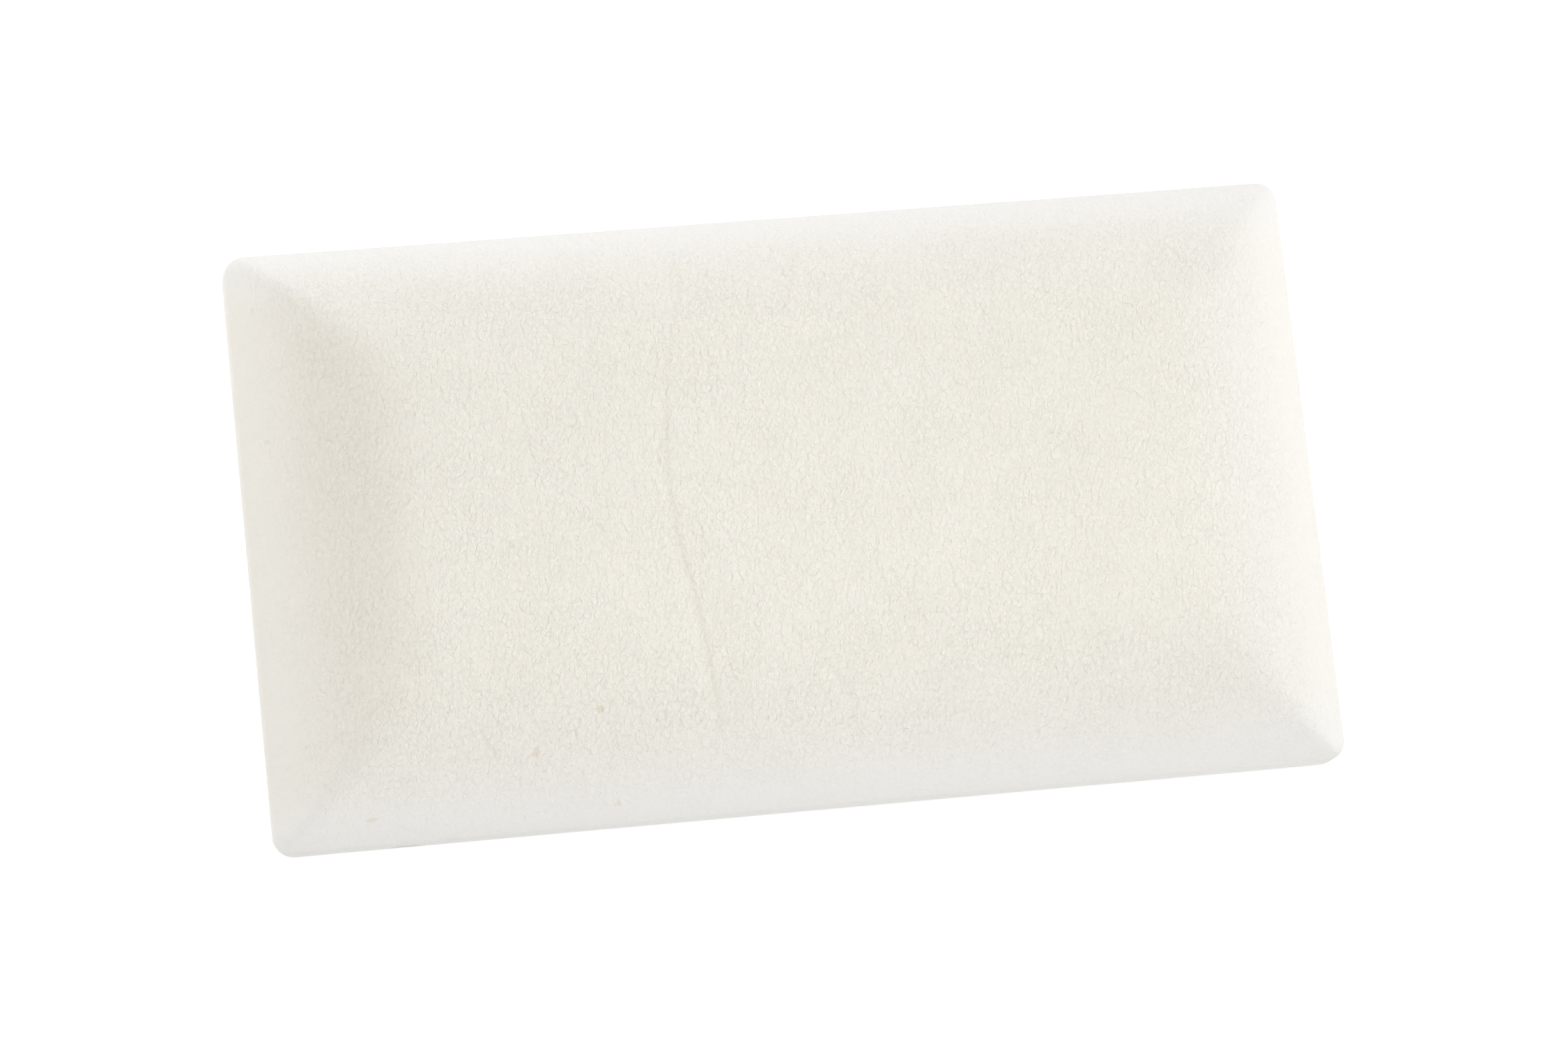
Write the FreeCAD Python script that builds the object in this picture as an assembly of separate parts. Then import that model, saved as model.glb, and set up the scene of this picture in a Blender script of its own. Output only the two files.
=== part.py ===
"""A small bare memory foam mattress core, built in layers inside one moulded foam shell.

Millimetres. +X runs along the length, +Y across the width, +Z up. The origin is the middle of
the underside. The shell is a deep cap that makes the whole outside. Its pocket, open below, has
two steps: the wide lower one holds the base layer, the support core and the edge rails, and the
narrower upper one holds the transition layer. Glue films fill the joints between the layers.
"""

import FreeCAD
import Part

import math
import os

# Overall sizes of the moulding.
LENGTH = 900.0
WIDTH = 500.0
HEIGHT = 120.0

# The outside of the moulded shell.
WALL_HEIGHT = 38.0  # from the underside to where the shoulder begins
PLAN_CORNER_RADIUS = 18.0
BASE_EDGE_RADIUS = 12.0
ARRIS_RADIUS = 12.0  # rounds the edge between a wall and its shoulder
END_SHOULDER_RUN = 178.0  # level distance from an end wall to the flat top
END_SHOULDER_LEAN = 10.0  # how far the shoulder's lower handle leans inwards
END_SHOULDER_LIFT = 8.0  # how high the lower handle reaches above the wall
END_SHOULDER_REACH = 127.0  # how far the upper handle reaches out from the flat top
SIDE_SHOULDER_RUN = 185.0
SIDE_SHOULDER_LEAN = 28.0
SIDE_SHOULDER_LIFT = 66.0
SIDE_SHOULDER_REACH = 55.0

# The stack of layers in the pocket, from the underside up.
SCRIM_THICKNESS = 1.0
BASE_THICKNESS = 14.0
CORE_THICKNESS = 34.0
TRANSITION_THICKNESS = 22.0
GLUE_THICKNESS = 0.4

# The pocket in plan.
SHELL_WALL = 38.0  # foam left between an outer wall and the lower step
END_STEP_INSET = 76.0  # from an end wall to the upper step
SIDE_STEP_INSET = 62.0
POCKET_CORNER_RADIUS = 10.0

# Edge rails and the joints between cut foam pieces.
END_RAIL_WIDTH = 45.0
SIDE_RAIL_WIDTH = 38.0
SEAM_GAP = 0.3  # between pieces that only butt together
STEP_GAP = 0.5  # round the transition layer in its step

# Air channels across the top of the transition layer.
CHANNEL_WIDTH = 14.0
CHANNEL_DEPTH = 9.0
CHANNEL_PITCH = 46.0
CHANNEL_MARGIN = 30.0  # least foam left between the last channel and the layer's end

# Vent holes through the support core.
VENT_RADIUS = 4.0
VENT_PITCH_X = 90.0
VENT_PITCH_Y = 84.0
VENT_MARGIN = 34.0  # least distance from a vent's centre to the core's edge

# Levels that follow from the stack.
BASE_LOW = SCRIM_THICKNESS
BASE_HIGH = BASE_LOW + BASE_THICKNESS
CORE_LOW = BASE_HIGH + GLUE_THICKNESS
CORE_HIGH = CORE_LOW + CORE_THICKNESS
STEP_LEVEL = CORE_HIGH + GLUE_THICKNESS
TRANSITION_LOW = STEP_LEVEL
TRANSITION_HIGH = TRANSITION_LOW + TRANSITION_THICKNESS
POCKET_TOP = TRANSITION_HIGH + GLUE_THICKNESS

# Plan sizes that follow from the outline and the pocket.
LOWER_LENGTH = LENGTH - 2 * SHELL_WALL
LOWER_WIDTH = WIDTH - 2 * SHELL_WALL
FILL_LENGTH = LOWER_LENGTH - 2 * GLUE_THICKNESS
FILL_WIDTH = LOWER_WIDTH - 2 * GLUE_THICKNESS
FILL_CORNER_RADIUS = POCKET_CORNER_RADIUS - GLUE_THICKNESS
UPPER_LENGTH = LENGTH - 2 * END_STEP_INSET
UPPER_WIDTH = WIDTH - 2 * SIDE_STEP_INSET
CORE_LENGTH = FILL_LENGTH - 2 * (END_RAIL_WIDTH + SEAM_GAP)
CORE_WIDTH = FILL_WIDTH - 2 * (SIDE_RAIL_WIDTH + SEAM_GAP)

UP = FreeCAD.Vector(0, 0, 1)
TINY = 0.001  # two levels nearer than this are the same
CUT_SLACK = 5.0  # how far a cutting shape passes the faces it cuts
MID_ARC = 1 - math.cos(math.radians(45))  # inset of a quarter circle's middle, per radius


def slab(length, width, low, high, corner_radius=0.0, centre_x=0.0, centre_y=0.0):
    """An upright block centred in plan, with its vertical edges rounded if a radius is given."""
    corner = FreeCAD.Vector(centre_x - length / 2, centre_y - width / 2, low)
    block = Part.makeBox(length, width, high - low, corner)
    if corner_radius <= 0:
        return block
    upright = [edge for edge in block.Edges if edge.BoundBox.ZLength > TINY]
    return block.makeFillet(corner_radius, upright)


def evenly_spaced(span, pitch, margin):
    """Centred places along a span, one pitch apart, none nearer an end than the margin."""
    steps = max(int((span - 2 * margin) // pitch), 0)
    return [(number - steps / 2) * pitch for number in range(steps + 1)]


def outline_face(half_span, run, lean, lift, reach, in_plane):
    """The outline across two opposite walls: rounded foot, upright wall, shoulder, flat top.

    in_plane(s, z) gives the point at distance s from the middle and height z.
    """
    foot = BASE_EDGE_RADIUS
    inner = half_span - run
    edges = []
    for side in (-1, 1):
        foot_start = in_plane(side * (half_span - foot), 0)
        foot_middle = in_plane(side * (half_span - foot * MID_ARC), foot * MID_ARC)
        foot_end = in_plane(side * half_span, foot)
        wall_top = in_plane(side * half_span, WALL_HEIGHT)
        shoulder = Part.BezierCurve()
        shoulder.setPoles(
            [
                wall_top,
                in_plane(side * (half_span - lean), WALL_HEIGHT + lift),
                in_plane(side * (inner + reach), HEIGHT),
                in_plane(side * inner, HEIGHT),
            ]
        )
        edges.append(Part.Arc(foot_start, foot_middle, foot_end).toShape())
        edges.append(Part.makeLine(foot_end, wall_top))
        edges.append(shoulder.toShape())
    edges.append(Part.makeLine(in_plane(-inner, HEIGHT), in_plane(inner, HEIGHT)))
    edges.append(Part.makeLine(in_plane(foot - half_span, 0), in_plane(half_span - foot, 0)))
    return Part.Face(Part.Wire(Part.__sortEdges__(edges)))


def outline_solid(face, sweep):
    """The outline swept straight across the moulding, with its two arrises rounded."""
    solid = face.extrude(sweep)
    arrises = [
        edge
        for edge in solid.Edges
        if all(abs(vertex.Z - WALL_HEIGHT) < TINY for vertex in edge.Vertexes)
    ]
    return solid.makeFillet(ARRIS_RADIUS, arrises)


def corner_waste(side_x, side_y):
    """What lies outside the plan radius at one corner, with slack past the outside faces."""
    radius = PLAN_CORNER_RADIUS
    size = radius + CUT_SLACK
    centre = FreeCAD.Vector(side_x * (LENGTH / 2 - radius), side_y * (WIDTH / 2 - radius), -CUT_SLACK)
    block = slab(
        size,
        size,
        -CUT_SLACK,
        HEIGHT + CUT_SLACK,
        centre_x=centre.x + side_x * size / 2,
        centre_y=centre.y + side_y * size / 2,
    )
    return block.cut(Part.makeCylinder(radius, HEIGHT + 2 * CUT_SLACK, centre, UP))


def moulded_form():
    """The outside of the moulding: two outlines crossed, so the shoulders meet in hips."""
    end_outline = outline_face(
        LENGTH / 2,
        END_SHOULDER_RUN,
        END_SHOULDER_LEAN,
        END_SHOULDER_LIFT,
        END_SHOULDER_REACH,
        lambda s, z: FreeCAD.Vector(s, -WIDTH / 2, z),
    )
    side_outline = outline_face(
        WIDTH / 2,
        SIDE_SHOULDER_RUN,
        SIDE_SHOULDER_LEAN,
        SIDE_SHOULDER_LIFT,
        SIDE_SHOULDER_REACH,
        lambda s, z: FreeCAD.Vector(-LENGTH / 2, s, z),
    )
    along = outline_solid(end_outline, FreeCAD.Vector(0, WIDTH, 0))
    across = outline_solid(side_outline, FreeCAD.Vector(LENGTH, 0, 0))
    form = along.common(across)
    for side_x in (-1, 1):
        for side_y in (-1, 1):
            form = form.cut(corner_waste(side_x, side_y))
    return form


def comfort_shell():
    """The moulded memory foam cap, with its stepped pocket open below."""
    lower_step = slab(LOWER_LENGTH, LOWER_WIDTH, 0, STEP_LEVEL, POCKET_CORNER_RADIUS)
    upper_step = slab(UPPER_LENGTH, UPPER_WIDTH, STEP_LEVEL, POCKET_TOP, POCKET_CORNER_RADIUS)
    return moulded_form().cut(lower_step).cut(upper_step)


def transition_layer():
    """Medium foam in the upper step, with round-bottomed air channels across its top."""
    length = UPPER_LENGTH - 2 * STEP_GAP
    width = UPPER_WIDTH - 2 * STEP_GAP
    corner_radius = POCKET_CORNER_RADIUS - STEP_GAP
    layer = slab(length, width, TRANSITION_LOW, TRANSITION_HIGH, corner_radius)
    round_radius = CHANNEL_WIDTH / 2
    round_centre = TRANSITION_HIGH - CHANNEL_DEPTH + round_radius
    for place in evenly_spaced(length, CHANNEL_PITCH, CHANNEL_MARGIN + round_radius):
        start = FreeCAD.Vector(place, -WIDTH / 2, round_centre)
        bottom = Part.makeCylinder(round_radius, WIDTH, start, FreeCAD.Vector(0, 1, 0))
        mouth_high = TRANSITION_HIGH + CUT_SLACK
        mouth = slab(CHANNEL_WIDTH, WIDTH, round_centre, mouth_high, centre_x=place)
        layer = layer.cut(bottom.fuse(mouth))
    return layer


def support_core():
    """Firm foam block between the rails, with a grid of vent holes."""
    core = slab(CORE_LENGTH, CORE_WIDTH, CORE_LOW, CORE_HIGH)
    vents = [
        Part.makeCylinder(VENT_RADIUS, CORE_THICKNESS, FreeCAD.Vector(x, y, CORE_LOW), UP)
        for x in evenly_spaced(CORE_LENGTH, VENT_PITCH_X, VENT_MARGIN)
        for y in evenly_spaced(CORE_WIDTH, VENT_PITCH_Y, VENT_MARGIN)
    ]
    return core.cut(Part.makeCompound(vents))


def side_rail(side):
    """A long rail; it runs the whole length of the pocket and fits its rounded corners."""
    fill = slab(FILL_LENGTH, FILL_WIDTH, CORE_LOW, CORE_HIGH, FILL_CORNER_RADIUS)
    centre_y = side * (FILL_WIDTH - SIDE_RAIL_WIDTH) / 2
    strip = slab(FILL_LENGTH, SIDE_RAIL_WIDTH, CORE_LOW, CORE_HIGH, centre_y=centre_y)
    return fill.common(strip)


def end_rail(side):
    """A short rail that butts between the two long ones."""
    centre_x = side * (FILL_LENGTH - END_RAIL_WIDTH) / 2
    return slab(END_RAIL_WIDTH, CORE_WIDTH, CORE_LOW, CORE_HIGH, centre_x=centre_x)


def base_layer():
    """Firm pad that closes the pocket below the core and the rails."""
    return slab(FILL_LENGTH, FILL_WIDTH, BASE_LOW, BASE_HIGH, FILL_CORNER_RADIUS)


def base_scrim():
    """Non-woven backing, flush with the rim of the shell."""
    return slab(FILL_LENGTH, FILL_WIDTH, 0, SCRIM_THICKNESS, FILL_CORNER_RADIUS)


def layer_glue_film(length, width, low, corner_radius):
    """Glue between two layers, lying on the lower one."""
    return slab(length, width, low, low + GLUE_THICKNESS, corner_radius)


def wall_glue_film():
    """Glue round the lower step's wall, between the shell and what fills it."""
    outer = slab(LOWER_LENGTH, LOWER_WIDTH, BASE_LOW, STEP_LEVEL, POCKET_CORNER_RADIUS)
    inner = slab(FILL_LENGTH, FILL_WIDTH, BASE_LOW, STEP_LEVEL, FILL_CORNER_RADIUS)
    return outer.cut(inner)


PIECES = {
    "comfort_shell": comfort_shell(),
    "comfort_glue_film": layer_glue_film(
        UPPER_LENGTH - 2 * STEP_GAP,
        UPPER_WIDTH - 2 * STEP_GAP,
        TRANSITION_HIGH,
        POCKET_CORNER_RADIUS - STEP_GAP,
    ),
    "transition_layer": transition_layer(),
    "core_glue_film": layer_glue_film(FILL_LENGTH, FILL_WIDTH, CORE_HIGH, FILL_CORNER_RADIUS),
    "support_core": support_core(),
    "front_edge_rail": side_rail(-1),
    "rear_edge_rail": side_rail(1),
    "left_edge_rail": end_rail(-1),
    "right_edge_rail": end_rail(1),
    "base_glue_film": layer_glue_film(FILL_LENGTH, FILL_WIDTH, BASE_HIGH, FILL_CORNER_RADIUS),
    "wall_glue_film": wall_glue_film(),
    "base_layer": base_layer(),
    "base_scrim": base_scrim(),
}

os.makedirs("parts", exist_ok=True)
for name, shape in PIECES.items():
    shape.exportStep(f"parts/{name}.step")
    size = shape.BoundBox
    print(
        f"{name}: {len(shape.Solids)} solid, {size.XLength:.1f} x {size.YLength:.1f} x "
        f"{size.ZLength:.1f}, {shape.Volume / 1000:.1f} cm3, valid {shape.isValid()}"
    )
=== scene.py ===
"""Looks for a small bare memory foam mattress core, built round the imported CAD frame.

Metres. +X runs along the length, +Y across the width, +Z up. The moulded shell is one closed
mesh: a fine grid over the top and shoulders, rings down the wall, round the foot and up into the
stepped pocket. What the mould and the foam left on it, such as pull creases, pinholes and a
gouge, is real displacement of that mesh, and only the fine skin grain is bump.
"""

import math

import bmesh
import bpy
import numpy as np
from mathutils import Matrix, Vector, noise


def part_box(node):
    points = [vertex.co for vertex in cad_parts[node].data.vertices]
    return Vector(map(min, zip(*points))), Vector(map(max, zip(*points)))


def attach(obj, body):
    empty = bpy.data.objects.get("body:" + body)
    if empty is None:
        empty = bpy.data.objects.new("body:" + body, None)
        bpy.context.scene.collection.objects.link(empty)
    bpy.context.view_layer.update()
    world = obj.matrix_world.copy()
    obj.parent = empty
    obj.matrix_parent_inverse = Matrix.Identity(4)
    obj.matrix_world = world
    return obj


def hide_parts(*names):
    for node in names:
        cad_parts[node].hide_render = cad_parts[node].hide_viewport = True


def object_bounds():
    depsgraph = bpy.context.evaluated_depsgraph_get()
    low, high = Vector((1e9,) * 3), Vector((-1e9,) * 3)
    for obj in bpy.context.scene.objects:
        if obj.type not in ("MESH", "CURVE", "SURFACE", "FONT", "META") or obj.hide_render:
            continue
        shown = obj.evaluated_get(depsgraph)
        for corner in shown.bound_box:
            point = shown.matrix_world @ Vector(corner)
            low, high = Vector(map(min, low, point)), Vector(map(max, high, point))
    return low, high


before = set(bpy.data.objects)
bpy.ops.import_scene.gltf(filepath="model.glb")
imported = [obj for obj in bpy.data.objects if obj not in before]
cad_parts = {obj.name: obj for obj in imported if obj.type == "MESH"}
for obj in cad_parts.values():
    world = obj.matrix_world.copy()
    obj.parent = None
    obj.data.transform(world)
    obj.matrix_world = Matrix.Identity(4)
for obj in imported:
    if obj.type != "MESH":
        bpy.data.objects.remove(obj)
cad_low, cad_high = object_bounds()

MM = 0.001

# The outside of the moulding, from the frame and from the CAD source's own values.
HALF_X = (cad_high.x - cad_low.x) / 2
HALF_Y = (cad_high.y - cad_low.y) / 2
HEIGHT = cad_high.z
WALL_HEIGHT = 38 * MM
PLAN_CORNER_RADIUS = 18 * MM
FOOT_RADIUS = 12 * MM
ARRIS_RADIUS = 12 * MM
END_SHOULDER = (178 * MM, 10 * MM, 8 * MM, 127 * MM)  # run, lean, lift, reach
SIDE_SHOULDER = (185 * MM, 28 * MM, 66 * MM, 55 * MM)
HIP_AT_CORNER = 9 * MM  # how softly the two shoulders meet
HIP_AT_CROWN = 10.5 * MM
CROWN_X = 5.6 * MM  # how far the top has fallen at the ends
CROWN_Y = 5.7 * MM
POCKET_CORNER_RADIUS = 10 * MM

# Steps in from a wall for the grid lines over an edge, and the pitch of the lines further in.
EDGE_STEPS = [0, 0.25, 0.8, 1.7, 2.8, 4.2, 6, 8.2, 10.6, 13.2, 16, 19, 22]  # mm
TOP_PITCH = 2.9 * MM
# The same for the rings of the underside and the pocket, and for the glue round its wall.
CORNER_STEPS = [0, 1.5, 3, 4.6, 6.4, 8.2, 10, 13, 18]  # mm
RING_PITCH = 22 * MM
FILM_PITCH = 20 * MM
# The mesh is split again near marks: within this much of a crease, and of a pit in its half widths.
FINE_PASSES = [(7 * MM, 3.4), (4.2 * MM, 2.4), (0, 1.9)]

# Marks in the skin: points along each crease in plan, then its depth, and its half width on the
# +X side, which is the steep one, and on the -X side, in mm.
CREASES = [
    (
        [(-74.8, 220), (-82.6, 173), (-96.4, 129), (-105.2, 69), (-108.0, 3), (-103.0, -43.5),
         (-95.2, -82), (-90.6, -123), (-85.6, -163), (-81.2, -198)],
        1.00, 2.4, 8.0,
    ),
    ([(26, 214), (17, 194), (5.4, 165), (-9, 134)], 0.85, 3.8, 8.0),
    ([(-19, -109), (1.3, -136), (22.4, -164.5), (27, -187), (29, -208)], 0.44, 3.4, 7.0),
    ([(139, 193), (145, 134), (151, 75)], 0.25, 7.0, 3.0),
    ([(-280.5, -169), (-274, -181), (-268, -192)], 0.90, 1.5, 3.0),
    ([(0.3, 65), (3.5, 52)], 0.40, 1.5, 3.0),
    ([(-181, -163), (-176, -172), (-172, -184)], 0.25, 1.6, 3.0),
]
# Pinholes and pits: x, y, half length, half width, turn in degrees, depth in mm, painted shade in
# the pit.
PITS = [
    (-180.9, -162.7, 3.5, 2.9, 0, 1.0, 1.0),
    (-235.7, -191.7, 4.2, 3.1, 60, 1.1, 1.0),
    (-202.0, -179.9, 3.4, 1.7, 100, 0.6, 0.25),
    (-169.6, -236.3, 3.0, 2.4, 20, 0.7, 0.9),
    (-197.3, -118.0, 2.2, 1.5, 0, 0.25, 0.5),
    (-190.5, -118.6, 1.6, 1.2, 0, 0.25, 0.3),
    (312.9, -143.8, 1.7, 1.4, 0, 0.3, 0.4),
    (349.6, -146.2, 1.7, 1.4, 0, 0.3, 0.4),
    (211.9, -81.8, 1.6, 1.3, 0, 0.3, 0.3),
    (-279.6, -25.7, 1.6, 1.3, 0, 0.3, 0.3),
    (-28.3, 25.8, 1.8, 1.4, 0, 0.4, 0.4),
    (22.3, -91.1, 1.6, 1.3, 90, 0.3, 0.2),
    (-426.9, 87.9, 2.6, 1.7, 0, 0.5, 0.9),
    (-424.1, 203.2, 1.9, 1.5, 0, 0.5, 0.2),
    (-429.5, 199.6, 2.2, 1.6, 50, 0.5, 0.2),
    (-418.3, -168.3, 1.6, 1.4, 0, 0.4, 0.5),
    (-371.2, -231.8, 5.6, 1.6, 3, 0.45, 1.3),
    (411.5, 229.8, 1.8, 1.5, 0, 0.25, 0.7),
    (424.2, 231.1, 1.8, 1.5, 0, 0.25, 0.7),
]
# A mould pull: points along it in plan, its height and half width, then the dip beside it, with
# how far off it is and its half width, in mm.
PULL_RIDGE = ([(-425.1, 239), (-425.2, 228), (-425.6, 213)], 0.85, 1.2)
PULL_DIP = (0.45, 2.4, 1.4)
GOUGE = (-0.341, 0.017, 0.013, 0.0045, 0.0028)  # front wall: x, z, half length, half height, depth

GRAIN_LEAN = math.radians(12)  # the skin's grain leans this far from the width's direction
# The foam's swell and the skin's pucker: height in mm, feature size in metres, seed, stretch, and
# whether it leans with the grain.
SWELLS = [
    (0.22, 0.075, 1, (1, 1, 1), False),
    (0.07, 0.020, 2, (0.8, 1.6, 1), True),
    (0.035, 0.009, 3, (0.8, 2.0, 1), True),
]
# Level streaks low down: height in mm, size, seed, stretch, and the heights where they fade.
STREAKS = (0.09, 0.006, 4, (22, 22, 1), 0.062, 0.03)

# Skin and floor colours, linear.
SKIN_TOP_LIGHT = (0.900, 0.868, 0.790, 1)
SKIN_TOP_DARK = (0.896, 0.863, 0.783, 1)
# Painted sheen: the shoulders less yellow than the top, where the white surround reflects at
# grazing angles.
SKIN_SHEENED_SHOULDER_LIGHT = (0.878, 0.853, 0.796, 1)
SKIN_SHEENED_SHOULDER_DARK = (0.875, 0.849, 0.791, 1)
SKIN_COOL_SHEEN = (0.876, 0.865, 0.838, 1)  # painted sheen: a cooler tone along the long shoulders, where the white surround reflects at grazing angles
SKIN_END_SHADE = (0.855, 0.811, 0.727, 1)  # painted shade, darker and warmer, on the shoulder at the -X end that turns away from the lamps
SKIN_SPECK = (0.875, 0.838, 0.755, 1)
# Painted shade in creases, pits and the gouge.
SKIN_RECESS_SHADE = (0.82, 0.68, 0.48, 1)
FLOOR_LIGHT = (0.42, 0.42, 0.42, 1)
FLOOR_DARK = (0.40, 0.40, 0.40, 1)
FLOOR_GLOW = 0.67


# ---------------------------------------------------------------- shape helpers


def bezier(t, points):
    """One coordinate of a cubic Bezier curve."""
    s = 1 - t
    a, b, c, d = points
    return s**3 * a + 3 * s * s * t * b + 3 * s * t * t * c + t**3 * d


def shoulder_curve(run, lean, lift, reach):
    """Level distance in from the wall and height, from the arris round over the shoulder."""
    t = np.linspace(0, 1, 900)
    d = bezier(t, (0, lean, run - reach, run))
    z = bezier(t, (WALL_HEIGHT, WALL_HEIGHT + lift, HEIGHT, HEIGHT))
    low, high = WALL_HEIGHT - ARRIS_RADIUS, WALL_HEIGHT
    for _ in range(50):
        middle = (low + high) / 2
        if np.hypot(d - ARRIS_RADIUS, z - middle).min() > ARRIS_RADIUS:
            low = middle
        else:
            high = middle
    touch = int(np.argmin(np.hypot(d - ARRIS_RADIUS, z - low)))
    end_angle = math.acos(np.clip(1 - d[touch] / ARRIS_RADIUS, -1, 1))
    angle = np.linspace(0, end_angle, 60)[:-1]
    arc_d = ARRIS_RADIUS * (1 - np.cos(angle))
    arc_z = low + ARRIS_RADIUS * np.sin(angle)
    return np.append(arc_d, d[touch:]), np.append(arc_z, z[touch:])


END_CURVE = shoulder_curve(*END_SHOULDER)
SIDE_CURVE = shoulder_curve(*SIDE_SHOULDER)


def skin_height(x, y):
    """Height of the moulding's top and shoulders over a point of its plan."""
    u, v = HALF_X - np.abs(x), HALF_Y - np.abs(y)
    end, side = np.interp(u, *END_CURVE), np.interp(v, *SIDE_CURVE)
    inward = np.clip(np.minimum(u / END_SHOULDER[0], v / SIDE_SHOULDER[0]), 0, 1)
    soft = HIP_AT_CORNER + (HIP_AT_CROWN - HIP_AT_CORNER) * inward
    share = np.clip(0.5 + 0.5 * (side - end) / soft, 0, 1)
    z = side * (1 - share) + end * share - soft * share * (1 - share)
    top = np.clip((z - WALL_HEIGHT) / (HEIGHT - WALL_HEIGHT), 0, 1)
    return z - top * (CROWN_X * (x / HALF_X) ** 2 + CROWN_Y * (y / HALF_Y) ** 2)


def ring_lines(half, middle):
    """Line places from -half to half: the corner steps at each end, so many even ones between."""
    edge = half - np.array(CORNER_STEPS) * MM
    return np.concatenate([-edge, np.linspace(-edge[-1], edge[-1], middle + 2)[1:-1], edge[::-1]])


def grid_lines(half, steps, pitch):
    """Line places from -half to half: the given steps near each end, one pitch between."""
    edge = half - np.array(steps) * MM
    count = max(int(round(2 * edge[-1] / pitch)), 1)
    return np.concatenate([-edge, np.linspace(-edge[-1], edge[-1], count + 1)[1:-1], edge[::-1]])


def round_corners(x, y, half_x, half_y, radius):
    """Bends a rectangle's square corners to a radius, keeping the grid inside them even."""
    cx = np.clip((np.abs(x) - (half_x - radius)) / radius, 0, 1)
    cy = np.clip((np.abs(y) - (half_y - radius)) / radius, 0, 1)
    corner = (cx > 0) & (cy > 0)
    bent_x = half_x - radius + radius * cx * np.sqrt(1 - cy**2 / 2)
    bent_y = half_y - radius + radius * cy * np.sqrt(1 - cx**2 / 2)
    return (
        np.where(corner, np.sign(x) * bent_x, x),
        np.where(corner, np.sign(y) * bent_y, y),
    )


def share_round(x, y, half_x, half_y):
    """Share of the way round a rectangle, anticlockwise from its lower left corner."""
    near = 1e-9
    front, right = 2 * half_x, 2 * half_y
    walk = np.where(y >= half_y - near, front + right + half_x - x, 2 * front + right + half_y - y)
    walk = np.where(x >= half_x - near, front + y + half_y, walk)
    walk = np.where(y <= -half_y + near, x + half_x, walk)
    return walk / (2 * front + 2 * right)


def perimeter(nx, ny):
    """Indices (i, j) round a grid's edge, anticlockwise from above."""
    ring = [(i, 0) for i in range(nx)] + [(nx - 1, j) for j in range(1, ny)]
    ring += [(i, ny - 1) for i in range(nx - 2, -1, -1)] + [(0, j) for j in range(ny - 2, 0, -1)]
    return np.array(ring)


class Builder:
    """Collects points and faces for one closed mesh."""

    def __init__(self):
        self.points = []
        self.faces = []
        self.count = 0

    def add(self, x, y, z):
        """Adds points and gives their numbers in the same array shape."""
        x, y, z = np.broadcast_arrays(x, y, z)
        self.points.append(np.stack([x, y, z], -1).reshape(-1, 3))
        numbers = np.arange(self.count, self.count + x.size).reshape(x.shape)
        self.count += x.size
        return numbers

    def sheet(self, numbers):
        """Quads over a grid of point numbers."""
        a, b = numbers[:-1, :-1], numbers[1:, :-1]
        c, d = numbers[1:, 1:], numbers[:-1, 1:]
        self.faces += np.stack([a, b, c, d], -1).reshape(-1, 4).tolist()

    def band(self, one, other):
        """Quads between two rings of as many points."""
        a, b = np.roll(one, -1), np.roll(other, -1)
        self.faces += np.stack([one, a, b, other], -1).tolist()

    def zip_rings(self, one, one_share, other, other_share):
        """Triangles between two rings of different counts; the shares run from 0 to 1."""
        i = j = 0
        one_next = np.append(one_share[1:], 1.0)
        other_next = np.append(other_share[1:], 1.0)
        while i < len(one) or j < len(other):
            a, b = one[i % len(one)], other[j % len(other)]
            if j >= len(other) or (i < len(one) and one_next[i] <= other_next[j]):
                self.faces.append([int(a), int(one[(i + 1) % len(one)]), int(b)])
                i += 1
            else:
                self.faces.append([int(a), int(other[(j + 1) % len(other)]), int(b)])
                j += 1

    def bmesh(self):
        """The collected mesh as a bmesh with outward normals."""
        data = bpy.data.meshes.new("build")
        data.from_pydata(np.concatenate(self.points).tolist(), [], self.faces)
        made = bmesh.new()
        made.from_mesh(data)
        bpy.data.meshes.remove(data)
        bmesh.ops.recalc_face_normals(made, faces=made.faces)
        return made


def coordinates(made):
    """A bmesh's point places as an array."""
    return np.array([v.co for v in made.verts], float)


def place_points(made, places):
    for vert, place in zip(made.verts, places):
        vert.co = place


def field(points, size, seed, stretch=(1, 1, 1)):
    """Smooth noise, about -1 to 1, with features of about that size."""
    where = points / (size * np.array(stretch)) + seed * 17.3
    return np.array([noise.noise(Vector(p)) for p in where])


def curve_through(points, count=60):
    """Points evenly along a smooth curve through the given ones."""
    p = np.array([points[0], *points, points[-1]], float)
    out = []
    for k in range(1, len(p) - 2):
        for t in np.linspace(0, 1, count // (len(p) - 3), endpoint=False):
            a, b, c, d = p[k - 1 : k + 3]
            out.append(
                0.5 * (2 * b + (c - a) * t + (2 * a - 5 * b + 4 * c - d) * t * t
                       + (3 * b - a - 3 * c + d) * t**3)
            )
    out.append(p[-1])
    return np.array(out)


def beside_line(points, line):
    """Signed distance from a line, plus to its right, and the share of it reached, per point."""
    best = np.full(len(points), np.inf)
    side, share = np.zeros(len(points)), np.zeros(len(points))
    run = np.linalg.norm(np.diff(line, axis=0), axis=1)
    start = np.append(0, np.cumsum(run))
    for k in range(len(line) - 1):
        along = (line[k + 1] - line[k]) / run[k]
        offset = points - line[k]
        t = np.clip(offset @ along, 0, run[k])
        gap = offset - t[:, None] * along
        distance = np.hypot(gap[:, 0], gap[:, 1])
        nearer = distance < best
        best[nearer] = distance[nearer]
        cross = offset[:, 0] * along[1] - offset[:, 1] * along[0]
        side[nearer] = np.sign(cross[nearer])
        share[nearer] = (start[k] + t[nearer]) / start[-1]
    return best * np.where(side == 0, 1, side), share


def bell(s, width):
    return np.exp(-((s / width) ** 2))


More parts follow.
